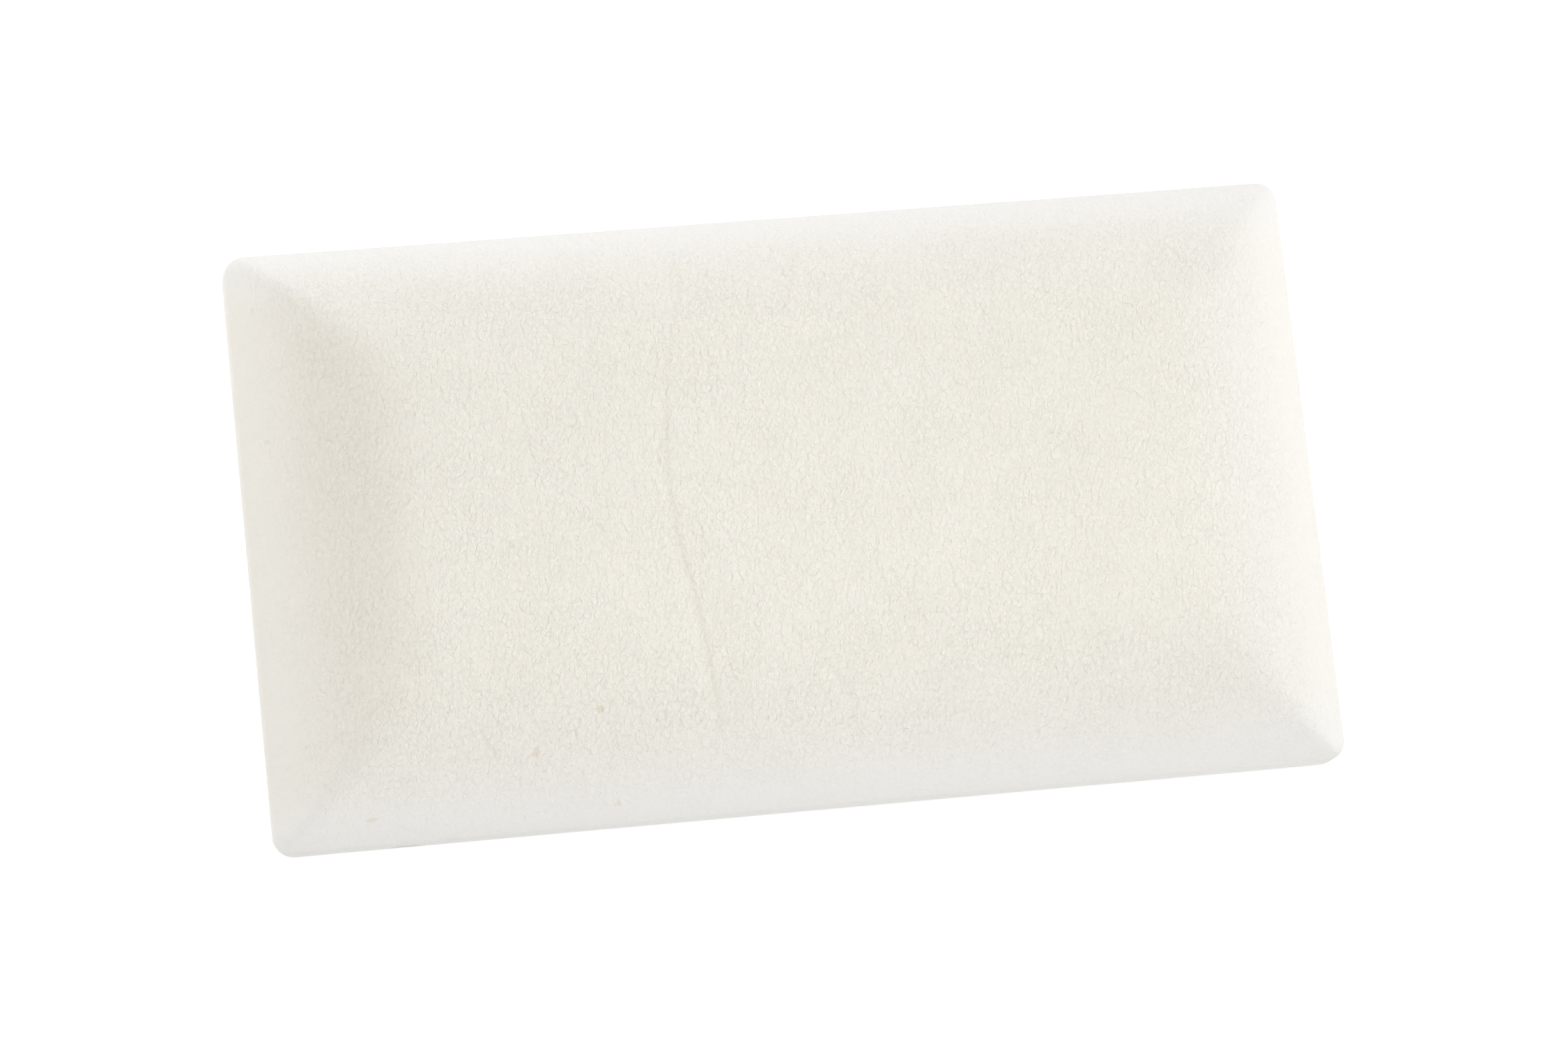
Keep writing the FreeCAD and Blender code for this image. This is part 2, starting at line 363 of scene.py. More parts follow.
def make_piece(name, made, material, node, smooth_angle=35):
    """Turns a bmesh into a piece on the root body that stands for its CAD node."""
    data = bpy.data.meshes.new(name)
    made.to_mesh(data)
    made.free()
    data.polygons.foreach_set("use_smooth", [True] * len(data.polygons))
    data.set_sharp_from_angle(angle=math.radians(smooth_angle))
    data.materials.append(material)
    piece = bpy.data.objects.new(name, data)
    bpy.context.scene.collection.objects.link(piece)
    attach(piece, "root")
    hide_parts(node)
    return piece


# ---------------------------------------------------------------- materials


def colour(red, green, blue):
    """An sRGB colour, 0 to 255, as linear RGBA."""
    linear = [
        c / 12.92 if c <= 0.04045 else ((c + 0.055) / 1.055) ** 2.4
        for c in (red / 255, green / 255, blue / 255)
    ]
    return (*linear, 1)


class Nodes:
    """A material's node tree, with short calls for the nodes used here."""

    def __init__(self, name):
        self.material = bpy.data.materials.new(name)
        self.material.use_nodes = True
        self.tree = self.material.node_tree
        self.shader = self.tree.nodes["Principled BSDF"]
        self.where = self.new("ShaderNodeTexCoord").outputs["Object"]

    def new(self, kind, **settings):
        node = self.tree.nodes.new(kind)
        for key, value in settings.items():
            setattr(node, key, value)
        return node

    def link(self, out, socket):
        self.tree.links.new(out, socket)

    def stretched(self, size, turn=0.0, stretch=(1, 1, 1)):
        """Object coordinates turned about Z and divided by a feature size in metres."""
        mapping = self.new("ShaderNodeMapping", vector_type="POINT")
        turned = self.new("ShaderNodeVectorRotate", rotation_type="Z_AXIS")
        turned.inputs["Angle"].default_value = turn
        self.link(self.where, turned.inputs["Vector"])
        self.link(turned.outputs["Vector"], mapping.inputs["Vector"])
        mapping.inputs["Scale"].default_value = [1 / (size * s) for s in stretch]
        return mapping.outputs["Vector"]

    def noise(self, vector, detail=2.0, roughness=0.5, distortion=0.0):
        node = self.new("ShaderNodeTexNoise")
        self.link(vector, node.inputs["Vector"])
        node.inputs["Scale"].default_value = 1.0
        node.inputs["Detail"].default_value = detail
        node.inputs["Roughness"].default_value = roughness
        node.inputs["Distortion"].default_value = distortion
        return node.outputs["Fac"]

    def cells(self, vector, feature="F1", smooth=None):
        node = self.new("ShaderNodeTexVoronoi", feature=feature)
        self.link(vector, node.inputs["Vector"])
        node.inputs["Scale"].default_value = 1.0
        if smooth is not None:
            node.inputs["Smoothness"].default_value = smooth
        return node.outputs["Distance"]

    def remap(self, value, low, high, to_low, to_high, smooth=False):
        node = self.new("ShaderNodeMapRange")
        node.interpolation_type = "SMOOTHSTEP" if smooth else "LINEAR"
        self.link(value, node.inputs["Value"])
        for key, number in zip(
            ("From Min", "From Max", "To Min", "To Max"), (low, high, to_low, to_high)
        ):
            node.inputs[key].default_value = number
        return node.outputs["Result"]

    def math(self, operation, one, other):
        node = self.new("ShaderNodeMath", operation=operation)
        for socket, value in zip(node.inputs, (one, other)):
            if isinstance(value, (int, float)):
                socket.default_value = value
            else:
                self.link(value, socket)
        return node.outputs["Value"]

    def mix(self, factor, one, other):
        node = self.new("ShaderNodeMix", data_type="RGBA")
        self.link(factor, node.inputs["Factor"])
        for socket, value in zip((node.inputs[6], node.inputs[7]), (one, other)):
            if isinstance(value, tuple):
                socket.default_value = value
            else:
                self.link(value, socket)
        return node.outputs[2]

    def bump(self, height, distance, below=None):
        node = self.new("ShaderNodeBump")
        node.inputs["Strength"].default_value = 1.0
        node.inputs["Distance"].default_value = distance
        self.link(height, node.inputs["Height"])
        if below is not None:
            self.link(below, node.inputs["Normal"])
        return node.outputs["Normal"]

    def attribute(self, name):
        node = self.new("ShaderNodeAttribute", attribute_type="GEOMETRY", attribute_name=name)
        return node.outputs["Fac"]

    def axis(self, which):
        node = self.new("ShaderNodeSeparateXYZ")
        self.link(self.where, node.inputs["Vector"])
        return node.outputs[which]


def skin_material():
    """Moulded memory foam skin: creamy top, cooler shoulders from painted sheen, painted shade at
    the -X end and in recesses, fine leaning crinkle.
    """
    n = Nodes("memory_foam_skin")
    # Below the top, the shoulders take the painted sheen's tone.
    high = n.remap(n.axis("Z"), 0.070, 0.112, 0, 1, smooth=True)
    cloud = n.noise(n.stretched(0.055), detail=3)
    speck = n.noise(n.stretched(0.0022), detail=2)
    drift = n.remap(cloud, 0.35, 0.65, 0, 1)
    cream = n.mix(drift, SKIN_TOP_LIGHT, SKIN_TOP_DARK)
    sheened_shoulder = n.mix(drift, SKIN_SHEENED_SHOULDER_LIGHT, SKIN_SHEENED_SHOULDER_DARK)
    base = n.mix(high, sheened_shoulder, cream)
    # Painted sheen along the long shoulders and, less, at the +X end.
    base = n.mix(n.attribute("cool_sheen"), base, SKIN_COOL_SHEEN)
    # Painted shade on the shoulder at the -X end.
    base = n.mix(n.attribute("end_shade"), base, SKIN_END_SHADE)
    base = n.mix(n.remap(speck, 0.3, 0.7, 0, 0.22), base, SKIN_SPECK)
    # Painted shade in creases, pits and the gouge.
    base = n.mix(n.attribute("recess_shade"), base, SKIN_RECESS_SHADE)
    n.link(base, n.shader.inputs["Base Color"])
    n.link(n.remap(speck, 0.3, 0.7, 0.78, 0.9), n.shader.inputs["Roughness"])
    n.shader.inputs["Specular IOR Level"].default_value = 0.25
    n.shader.inputs["Sheen Weight"].default_value = 0.04
    n.shader.inputs["Sheen Roughness"].default_value = 0.5

    # Coarse pucker, then the leaning grain, then pores; the low shoulders are smoother.
    pucker = n.noise(n.stretched(0.0080, GRAIN_LEAN, (0.85, 1.5, 1.1)), detail=2, distortion=0.4)
    grain = n.noise(
        n.stretched(0.0034, GRAIN_LEAN, (0.9, 1.35, 1.1)), detail=3, roughness=0.6, distortion=0.9
    )
    pores = n.cells(n.stretched(0.0013, GRAIN_LEAN, (0.9, 1.5, 1)), "SMOOTH_F1", 0.6)
    strength = n.remap(n.axis("Z"), 0.045, 0.105, 0.42, 1.0, smooth=True)
    patch = n.remap(n.noise(n.stretched(0.05), detail=2), 0.3, 0.7, 0.92, 1.1)
    grain = n.math("MULTIPLY", n.math("MULTIPLY", grain, strength), patch)
    streaks = n.noise(n.stretched(0.004, 0, (40, 40, 1)), detail=2)
    low_down = n.remap(n.axis("Z"), 0.030, 0.075, 1.0, 0.0, smooth=True)
    streaks = n.math("MULTIPLY", streaks, low_down)
    normal = n.bump(pucker, 0.70 * MM)
    normal = n.bump(grain, 2.1 * MM, normal)
    normal = n.bump(pores, 0.05 * MM, normal)
    normal = n.bump(streaks, 0.12 * MM, normal)
    n.link(normal, n.shader.inputs["Normal"])
    return n.material


def cut_foam_material(name, light, dark, cell, depth):
    """Cut foam: open cells with painted shade in their throats, faint saw lines and slow colour
    change.
    """
    n = Nodes(name)
    cells = n.cells(n.stretched(cell))
    fine = n.cells(n.stretched(cell * 0.45))
    cloud = n.noise(n.stretched(0.04), detail=3)
    lines = n.noise(n.stretched(0.0025, 0, (30, 30, 1)), detail=1)
    base = n.mix(n.remap(cloud, 0.3, 0.7, 0, 1), light, dark)
    # Painted shade in the cells' throats.
    throat_shade = tuple(c * 0.62 for c in dark[:3]) + (1,)
    base = n.mix(n.remap(cells, 0.45, 0.05, 0, 0.55), base, throat_shade)
    n.link(base, n.shader.inputs["Base Color"])
    n.link(n.remap(fine, 0, 0.8, 0.82, 0.98), n.shader.inputs["Roughness"])
    n.shader.inputs["Specular IOR Level"].default_value = 0.2
    n.shader.inputs["Sheen Weight"].default_value = 0.08
    normal = n.bump(lines, 0.10 * MM)
    normal = n.bump(cells, depth, normal)
    normal = n.bump(fine, depth * 0.4, normal)
    n.link(normal, n.shader.inputs["Normal"])
    return n.material


def glue_material():
    """Dried spray glue: a milky film with webs and thicker beads."""
    n = Nodes("foam_glue")
    web = n.noise(n.stretched(0.012), detail=5, roughness=0.65, distortion=1.5)
    beads = n.cells(n.stretched(0.0035), "SMOOTH_F1", 0.4)
    base = n.mix(n.remap(web, 0.35, 0.65, 0, 1), colour(238, 233, 214), colour(226, 217, 188))
    n.link(base, n.shader.inputs["Base Color"])
    n.link(n.remap(web, 0.3, 0.7, 0.38, 0.62), n.shader.inputs["Roughness"])
    n.shader.inputs["Specular IOR Level"].default_value = 0.45
    normal = n.bump(web, 0.15 * MM)
    normal = n.bump(beads, 0.10 * MM, normal)
    n.link(normal, n.shader.inputs["Normal"])
    return n.material


def scrim_material():
    """White non-woven: loose fibres with a lattice of pressed point bonds."""
    n = Nodes("non_woven_scrim")
    fibres = n.noise(n.stretched(0.0006, 0.5, (1, 9, 1)), detail=3, distortion=2.0)
    crossing = n.noise(n.stretched(0.0006, -0.9, (1, 9, 1)), detail=3, distortion=2.0)
    fibre = n.math("MAXIMUM", fibres, crossing)
    node = n.new("ShaderNodeTexVoronoi", feature="F1")
    n.link(n.stretched(0.0032, math.radians(45)), node.inputs["Vector"])
    node.inputs["Scale"].default_value = 1.0
    node.inputs["Randomness"].default_value = 0.0
    bond = n.remap(node.outputs["Distance"], 0.14, 0.24, 1, 0, smooth=True)
    base = n.mix(n.remap(fibre, 0.4, 0.75, 0, 1), colour(228, 228, 225), colour(246, 246, 244))
    base = n.mix(bond, base, colour(212, 213, 212))
    n.link(base, n.shader.inputs["Base Color"])
    n.link(n.remap(bond, 0, 1, 0.88, 0.5), n.shader.inputs["Roughness"])
    n.shader.inputs["Sheen Weight"].default_value = 0.15
    normal = n.bump(fibre, 0.08 * MM)
    normal = n.bump(n.math("SUBTRACT", 1.0, bond), 0.20 * MM, normal)
    n.link(normal, n.shader.inputs["Normal"])
    return n.material


def floor_material():
    """A pale, over-lit sweep: it glows a little, so that it stays white right up to the foam."""
    n = Nodes("pale_floor")
    drift = n.noise(n.stretched(0.6), detail=3)
    base = n.mix(n.remap(drift, 0.3, 0.7, 0, 1), FLOOR_LIGHT, FLOOR_DARK)
    n.link(base, n.shader.inputs["Base Color"])
    n.link(n.remap(drift, 0.3, 0.7, 0.85, 0.95), n.shader.inputs["Roughness"])
    n.shader.inputs["Specular IOR Level"].default_value = 0.1
    n.shader.inputs["Emission Color"].default_value = (1, 1, 1, 1)
    n.shader.inputs["Emission Strength"].default_value = FLOOR_GLOW
    return n.material


# ---------------------------------------------------------------- the moulded shell


def shell_form():
    """The shell's closed mesh before the marks in its skin."""
    b = Builder()
    lines_x = grid_lines(HALF_X, EDGE_STEPS, TOP_PITCH)
    lines_y = grid_lines(HALF_Y, EDGE_STEPS, TOP_PITCH)
    gx, gy = np.meshgrid(lines_x, lines_y, indexing="ij")
    wx, wy = round_corners(gx, gy, HALF_X, HALF_Y, PLAN_CORNER_RADIUS)
    top = b.add(wx, wy, skin_height(gx, gy))
    b.sheet(top)
    ring = perimeter(*gx.shape)
    i, j = ring[:, 0], ring[:, 1]
    rx, ry, sx, sy = wx[i, j], wy[i, j], gx[i, j], gy[i, j]
    rim_z = skin_height(gx, gy)[i, j]
    out_x = rx - np.clip(rx, PLAN_CORNER_RADIUS - HALF_X, HALF_X - PLAN_CORNER_RADIUS)
    out_y = ry - np.clip(ry, PLAN_CORNER_RADIUS - HALF_Y, HALF_Y - PLAN_CORNER_RADIUS)
    length = np.hypot(out_x, out_y)
    out_x, out_y = out_x / length, out_y / length
    above = top[i, j]
    for share in (0.2, 0.4, 0.6, 0.8, 1.0):
        ring_now = b.add(rx, ry, rim_z + (FOOT_RADIUS - rim_z) * share)
        b.band(above, ring_now)
        above = ring_now
    for angle in np.radians([15, 30, 45, 60, 75, 90]):
        inset = FOOT_RADIUS * (1 - math.cos(angle))
        ring_now = b.add(
            rx - out_x * inset, ry - out_y * inset, FOOT_RADIUS * (1 - math.sin(angle))
        )
        b.band(above, ring_now)
        above = ring_now

    outer_share = share_round(sx, sy, HALF_X, HALF_Y)
    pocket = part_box("wall_glue_film")[1]
    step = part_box("transition_layer")[1]
    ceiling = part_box("comfort_glue_film")[1].z
    step_gap, rim_width, lip = 0.5 * MM, 14 * MM, 0.8 * MM

    def pocket_ring(out, z, rounder=0.0):
        return pocket.x + out, pocket.y + out, POCKET_CORNER_RADIUS + rounder, z

    def step_ring(out, z, out_y=None):
        across = out if out_y is None else out_y
        x, y = step.x + step_gap, step.y + step_gap
        return x + out, y + across, POCKET_CORNER_RADIUS, z

    # Inwards over the rim, up the pocket's wall, in over its step and up to its ceiling.
    rings = [
        (HALF_X - rim_width, HALF_Y - rim_width, 6 * MM, 0),
        pocket_ring(8 * MM, 0, 4 * MM),
        pocket_ring(lip, 0, lip),
        pocket_ring(0.25 * lip, 0.25 * lip),
        pocket_ring(0, lip),
        pocket_ring(0, pocket.z * 0.35),
        pocket_ring(0, pocket.z * 0.7),
        pocket_ring(0, pocket.z - 1.2 * MM),
        pocket_ring(-0.4 * MM, pocket.z - 0.35 * MM),
        pocket_ring(-1.2 * MM, pocket.z),
        step_ring(12 * MM, pocket.z, 10 * MM),
        step_ring(lip, pocket.z),
        step_ring(0, pocket.z + lip),
        step_ring(0, (pocket.z + ceiling) / 2),
        step_ring(0, ceiling - lip),
        step_ring(-lip, ceiling),
    ]
    middle_x, middle_y = (
        len(grid_lines(half, CORNER_STEPS, RING_PITCH)) - 2 * len(CORNER_STEPS)
        for half in (HALF_X, HALF_Y)
    )
    before = None
    for half_x, half_y, radius, z in rings:
        lx, ly = ring_lines(half_x, middle_x), ring_lines(half_y, middle_y)
        cx, cy = np.meshgrid(lx, ly, indexing="ij")
        px, py = round_corners(cx, cy, half_x, half_y, radius)
        ri, rj = perimeter(*cx.shape).T
        if (half_x, half_y, radius, z) == rings[-1]:
            roof = b.add(px, py, z)
            b.sheet(roof)
            ring_now = roof[ri, rj]
        else:
            ring_now = b.add(px[ri, rj], py[ri, rj], z)
        if before is None:
            share = share_round(cx[ri, rj], cy[ri, rj], half_x, half_y)
            b.zip_rings(above, outer_share, ring_now, share)
        else:
            b.band(before, ring_now)
        before = ring_now
    return b.bmesh()


def crease_lines():
    """Each crease as (curve in metres, depth, half width towards +X, half width towards -X)."""
    found = []
    for number, (points, depth, steep, gentle) in enumerate(CREASES):
        line = curve_through(points) * MM
        sway = field(np.column_stack([line, np.zeros(len(line))]), 11 * MM, number + 3)
        line[:, 0] += 0.5 * MM * sway
        found.append((line, depth * MM, steep * MM, gentle * MM))
    return found


def in_pit(points, pit):
    """How far into a pit each point is: 0 at its middle and 1 at its rim."""
    x, y, long_half, short_half, turn, _, _ = pit
    c, s = math.cos(math.radians(turn)), math.sin(math.radians(turn))
    dx, dy = points[:, 0] - x * MM, points[:, 1] - y * MM
    return np.hypot((dx * c + dy * s) / (long_half * MM), (dy * c - dx * s) / (short_half * MM))


def near_marks(p, lines, reach_crease, reach_pit):
    """Which points lie near a mark; with no reach for creases, near a pit only."""
    chosen = np.zeros(len(p), bool)
    top = np.where(on_top(p))[0]
    flat = p[top][:, :2]
    for pit in PITS:
        chosen[top[in_pit(flat, pit) < reach_pit]] = True
    if not reach_crease:
        return chosen
    pull = curve_through(PULL_RIDGE[0]) * MM
    # A crease too wide to need the finer mesh is passed over.
    for line in [line for line, _, steep, _ in lines if steep <= reach_crease] + [pull]:
        side, _ = beside_line(flat, line)
        chosen[top[np.abs(side) < reach_crease]] = True
    x, z, half_length, _, _ = GOUGE
    return chosen | (
        (p[:, 1] < -HALF_Y + 0.5 * MM)
        & (np.abs(p[:, 0] - x) < half_length * 1.6)
        & (np.abs(p[:, 2] - z) < 12 * MM)
    )


def refine(made, chosen):
    """Splits the faces all of whose points are chosen once in each direction."""
    made.edges.ensure_lookup_table()
    split = [e for e in made.edges if chosen[e.verts[0].index] and chosen[e.verts[1].index]]
    bmesh.ops.subdivide_edges(made, edges=split, cuts=1, use_grid_fill=True)
    made.verts.index_update()
    made.verts.ensure_lookup_table()


def on_top(p):
    """Points of the top and shoulders, off the walls."""
    inside = (HALF_X - np.abs(p[:, 0]) > 0.05 * MM) & (HALF_Y - np.abs(p[:, 1]) > 0.05 * MM)
    return inside & (p[:, 2] > skin_height(p[:, 0], p[:, 1]) - 6 * MM) & (p[:, 2] > 26 * MM)


def smooth_step(value, low, high):
    share = np.clip((value - low) / (high - low), 0, 1)
    return share * share * (3 - 2 * share)


def skin_tones(x, y):
    """Where the skin gets painted shade at the -X end and painted sheen along the shoulders, 0 to
    1.
    """
    from_end, from_side = x + HALF_X, HALF_Y - np.abs(y)
    # Painted shade on the -X end's shoulder, stronger towards +Y.
    end_shade = 0.25 + 0.75 * smooth_step(from_end, 0.008, 0.075)
    end_shade = end_shade * smooth_step(from_end, 0.150, 0.092)
    end_shade = end_shade * smooth_step(from_side - 0.7 * from_end, -0.004, 0.050)
    end_shade = end_shade * (0.6 + 0.4 * smooth_step(y, -0.20, 0.02))
    # Painted sheen along the long shoulders, and less at the +X end.
    cool_sheen = smooth_step(from_side, 0.058, 0.008) + 0.45 * smooth_step(x, 0.32, 0.42)
    return end_shade, np.clip(cool_sheen, 0, 1)


def skin_marks(p, outside, lines):
    """How far each point of the shell moves out along its normal, and how much painted shade it
    gets in creases, pits and the gouge.
    """
    height, recess_shade = np.zeros(len(p)), np.zeros(len(p))
    c, s = math.cos(GRAIN_LEAN), math.sin(GRAIN_LEAN)
    turned = np.column_stack([p[:, 0] * c - p[:, 1] * s, p[:, 0] * s + p[:, 1] * c, p[:, 2]])
    for high, size, seed, stretch, leans in SWELLS:
        where = turned if leans else p
        height[outside] += high * MM * field(where[outside], size, seed, stretch)
    high, size, seed, stretch, fade_height, fade_run = STREAKS
    low_down = np.clip((fade_height - p[outside, 2]) / fade_run, 0, 1)
    height[outside] += high * MM * field(p[outside], size, seed, stretch) * low_down

    top = np.where(on_top(p))[0]
    flat = p[top][:, :2]
    for number, (line, depth, steep, gentle) in enumerate(lines):
        side, share = beside_line(flat, line)
        width = np.where(side < 0, steep, gentle)  # every line runs towards -Y
        fade = np.clip(share / 0.10, 0, 1) * np.clip((1 - share) / 0.10, 0, 1)
        along = np.column_stack([share * 9, share * 0, share * 0])
        waver = 0.8 + 0.35 * field(along, 1.0, number + 9)
        deepening = 0.6 + 0.9 * share if number == 0 else 1  # the long one, towards the front
        reach = fade * waver * deepening
        height[top] -= depth * reach * bell(side, width)
        # Painted shade along the crease's steep flank.
        recess_shade[top] += 0.05 * reach * bell(side + 0.5 * steep, 0.8 * steep) * (depth / MM)
    for pit in PITS:
        _, _, _, _, _, depth, pit_shade = pit
        edge = field(np.column_stack([flat, flat[:, 0] * 0]), 2.2 * MM, pit[0] * 0.01)
        r = in_pit(flat, pit) / (1 + 0.18 * edge)
        bowl = smooth_step(r, 1.15, 0.55)
        height[top] -= depth * MM * bowl
        height[top] += 0.12 * depth * MM * bell(r - 1.55, 0.4)
        # Painted shade in the pit's bowl.
        recess_shade[top] += 0.35 * pit_shade * bowl
    points, rise, half_width = PULL_RIDGE
    dip, beside, dip_width = PULL_DIP
    side, share = beside_line(flat, curve_through(points) * MM)
    fade = np.clip(share / 0.25, 0, 1) * np.clip((1 - share) / 0.3, 0, 1)
    height[top] += rise * MM * fade * bell(side, half_width * MM)
    height[top] -= dip * MM * fade * bell(side - beside * MM, dip_width * MM)

    front = np.where(outside & (p[:, 1] < -HALF_Y + 0.8 * MM))[0]
    x, z, half_length, half_height, depth = GOUGE
    r = np.hypot((p[front, 0] - x) / half_length, (p[front, 2] - z) / half_height)
    bowl = np.clip((1.2 - r) / 0.7, 0, 1)
    height[front] -= depth * bowl * bowl * (3 - 2 * bowl)
    # Painted shade in the gouge.
    recess_shade[front] += 0.5 * bowl
    return height, np.clip(recess_shade, 0, 1)


def comfort_shell():
    """The moulded shell: its form, a finer mesh near marks, the marks, and its tones of painted
    shade and painted sheen.
    """
    made = shell_form()
    made.verts.index_update()
    lines = crease_lines()
    for reach_crease, reach_pit in FINE_PASSES:
        refine(made, near_marks(coordinates(made), lines, reach_crease, reach_pit))

    # New points go back onto the true surface, except inside the rounded corners.
    p = coordinates(made)
    u, v = HALF_X - np.abs(p[:, 0]), HALF_Y - np.abs(p[:, 1])
    off_corner = (u > PLAN_CORNER_RADIUS) | (v > PLAN_CORNER_RADIUS)
    true = on_top(p) & off_corner & (np.minimum(u, v) > 5 * MM)
    p[true, 2] = skin_height(p[true, 0], p[true, 1])
    place_points(made, p)
    made.normal_update()
    normal = np.array([vert.normal for vert in made.verts])

    pocket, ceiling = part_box("wall_glue_film")[1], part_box("comfort_glue_film")[1].z
    near = 0.01 * MM
    in_pocket = (
        (np.abs(p[:, 0]) < pocket.x + near)
        & (np.abs(p[:, 1]) < pocket.y + near)
        & (p[:, 2] < ceiling + near)
    )
    outside = ~in_pocket & (p[:, 2] > near)
    height, recess_shade = skin_marks(p, outside, lines)
    p = p + normal * height[:, None]
    p = np.clip(p, (-HALF_X, -HALF_Y, 0), (HALF_X, HALF_Y, HEIGHT))
    place_points(made, p)
    # Vertex tones: painted shade in recesses and at the -X end, painted sheen along the shoulders.
    for key, tone in zip(("recess_shade", "end_shade", "cool_sheen"), (recess_shade, *skin_tones(p[:, 0], p[:, 1]))):
        layer = made.verts.layers.float.new(key)
        for vert, amount in zip(made.verts, tone):
            vert[layer] = amount
    return make_piece(
        "comfort_shell_skin", made, skin_material(), "comfort_shell", 40
    )


# ---------------------------------------------------------------- the pieces inside


def block(node, radius, edge, pitch, rough, seed, top=None, lines_x=None):
    """A cut piece in its CAD node's box: rounded plan corners, eased edges, slightly uneven.

    top gives how far its top falls at each x, and lines_x the grid lines that this needs.
    """
    low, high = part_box(node)
    centre = (low + high) / 2
    half_x, half_y = (high.x - low.x) / 2, (high.y - low.y) / 2
    inner = [0, 0.3 * radius, 0.65 * radius, radius] if radius > 0 else [0]
    steps = [s / MM for s in inner] + [radius / MM + 3]
    lx = grid_lines(half_x, steps, pitch) if lines_x is None else lines_x(half_x, steps)
    ly = grid_lines(half_y, steps, pitch)
    gx, gy = np.meshgrid(lx, ly, indexing="ij")
    ri, rj = perimeter(*gx.shape).T
    b = Builder()

    def level(inset, z, whole=False):
        """One level of the piece, drawn in by the inset all round."""
        hx, hy = half_x - inset, half_y - inset
        px, py = gx * hx / half_x, gy * hy / half_y
        if radius > 0:
            px, py = round_corners(px, py, hx, hy, max(radius - inset, 0.2 * radius))
        px, py = px + centre.x, py + centre.y
        drop = 0 if top is None or z < centre.z else top(px - centre.x)
        if whole:
            numbers = b.add(px, py, z - drop)
            b.sheet(numbers)
            return numbers[ri, rj]
        if top is not None and z >= centre.z:
            return b.add(px[ri, rj], py[ri, rj], z - drop[ri, rj])
        return b.add(px[ri, rj], py[ri, rj], z)

    turns = np.radians([0, 30, 60, 90])
    rings = [level(edge, high.z, whole=True)]
    for turn in turns[1:]:
        rings.append(level(edge * (1 - math.sin(turn)), high.z - edge * (1 - math.cos(turn))))
    rings.append(level(0, low.z + edge))
    for turn in turns[::-1][1:-1]:
        rings.append(level(edge * (1 - math.sin(turn)), low.z + edge * (1 - math.cos(turn))))
    rings.append(level(edge, low.z, whole=True))
    for one, other in zip(rings, rings[1:]):
        b.band(one, other)
    made = b.bmesh()
    p = coordinates(made)
    made.normal_update()
    normal = np.array([v.normal for v in made.verts])
    p += normal * (rough * (field(p, 0.011, seed) - 1))[:, None]
    p = np.clip(p, np.array(low), np.array(high))
    place_points(made, p)
    return made


CHANNEL_WIDTH, CHANNEL_DEPTH, CHANNEL_PITCH, CHANNEL_MARGIN = 14 * MM, 9 * MM, 46 * MM, 30 * MM


def centred_places(span, pitch, margin):
    steps = max(int((span - 2 * margin) // pitch), 0)
    return [(k - steps / 2) * pitch for k in range(steps + 1)]


def channel_drop(x):
    """How far the transition layer's top falls at x, in its round-bottomed channels."""
    low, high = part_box("transition_layer")
    half = CHANNEL_WIDTH / 2
    drop = np.zeros_like(x)
    for place in centred_places(high.x - low.x, CHANNEL_PITCH, CHANNEL_MARGIN + half):
        away = np.abs(x - place)
        bottom = CHANNEL_DEPTH - half + np.sqrt(np.clip(half**2 - away**2, 0, None))
        drop = np.where(away < half, np.maximum(drop, bottom), drop)
    return drop


def channel_lines(half_x, steps):
    """Grid lines that follow the channels' mouths, walls and round bottoms."""
    edge = half_x - np.array(steps) * MM
    low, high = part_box("transition_layer")
    half = CHANNEL_WIDTH / 2
    lines = []
    for place in centred_places(high.x - low.x, CHANNEL_PITCH, CHANNEL_MARGIN + half):
        for turn in np.linspace(-90, 90, 11):
            lines.append(place + half * math.sin(math.radians(turn)) * 0.9999)
        lines += [place - half - 0.15 * MM, place + half + 0.15 * MM]
        lines += [place - half - 1.5 * MM, place + half + 1.5 * MM, place + CHANNEL_PITCH / 2]
    inside = [x for x in lines if abs(x) < edge[-1] - MM]
    return np.array(sorted([*-edge, *inside, *edge[::-1]]))


VENT_RADIUS, VENT_PITCH_X, VENT_PITCH_Y, VENT_MARGIN = 4 * MM, 90 * MM, 84 * MM, 34 * MM
VENT_MOUTH_RADIUS = VENT_RADIUS * 1.12
VENT_CELL = VENT_RADIUS * 1.5  # half of the square grid cell round a vent
VENT_SIDES = 16  # four to each side of its cell
VENT_ANGLES = np.radians(np.arange(VENT_SIDES) * 360 / VENT_SIDES + 225)


def core_lines(half, places):
    """Grid lines over the core: a square cell round each vent, and even ones between."""
    edge, pitch = 3 * MM, 14 * MM
    marks = [-half, -half + edge, half - edge, half]
    for place in places:
        marks += [place - VENT_CELL, place + VENT_CELL]
    marks = sorted(marks)
    out = []
    for a, b in zip(marks, marks[1:]):
        parts = max(int((b - a) / pitch), 1)
        out += list(np.linspace(a, b, parts + 1)[:-1])
    return np.array(out + [half])


def vent_ring(b, x, y, radius, z):
    return b.add(x + radius * np.cos(VENT_ANGLES), y + radius * np.sin(VENT_ANGLES), z)


